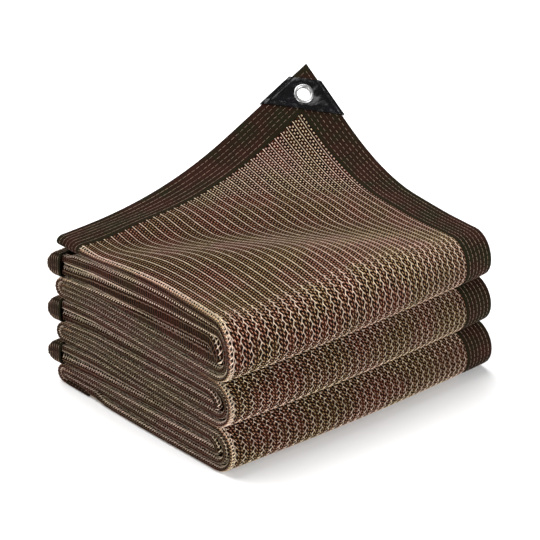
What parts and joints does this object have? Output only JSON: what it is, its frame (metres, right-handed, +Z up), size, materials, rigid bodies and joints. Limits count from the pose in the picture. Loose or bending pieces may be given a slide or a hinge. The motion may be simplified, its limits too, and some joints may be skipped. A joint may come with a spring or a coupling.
{
  "type": "shade net",
  "caption": "Knitted shade net with bound edges, folded into a rectangular pack, with one corner of the top sheet raised to show its patch and eyelet.",
  "frame": {"origin": "centre of the pack's bounding box, on the surface it lies on", "axes": "+X along the front folds, from the doubled edge to the bound edge; +Y from the front folds to the rear folds; +Z up"},
  "size_m": [0.3892, 0.322, 0.2722],
  "materials": {
    "net": "knitted mesh, matt",
    "binding": "dense woven tape with stitched rows, matt",
    "tape": "dense woven tape with stitched rows, matt",
    "patch": "black film over cloth, soft gloss",
    "eyelet": "bright, lightly brushed"
  },
  "bodies": {
    "root": {"net_panel": "net", "side_binding_outer": "binding", "side_binding_inner": "binding", "end_binding_top": "binding", "end_binding_tail": "binding", "fold_tape_1": "tape", "fold_tape_2": "tape", "fold_tape_3": "tape", "corner_patch": "patch", "eyelet": "eyelet"}
  },
  "joints": []
}
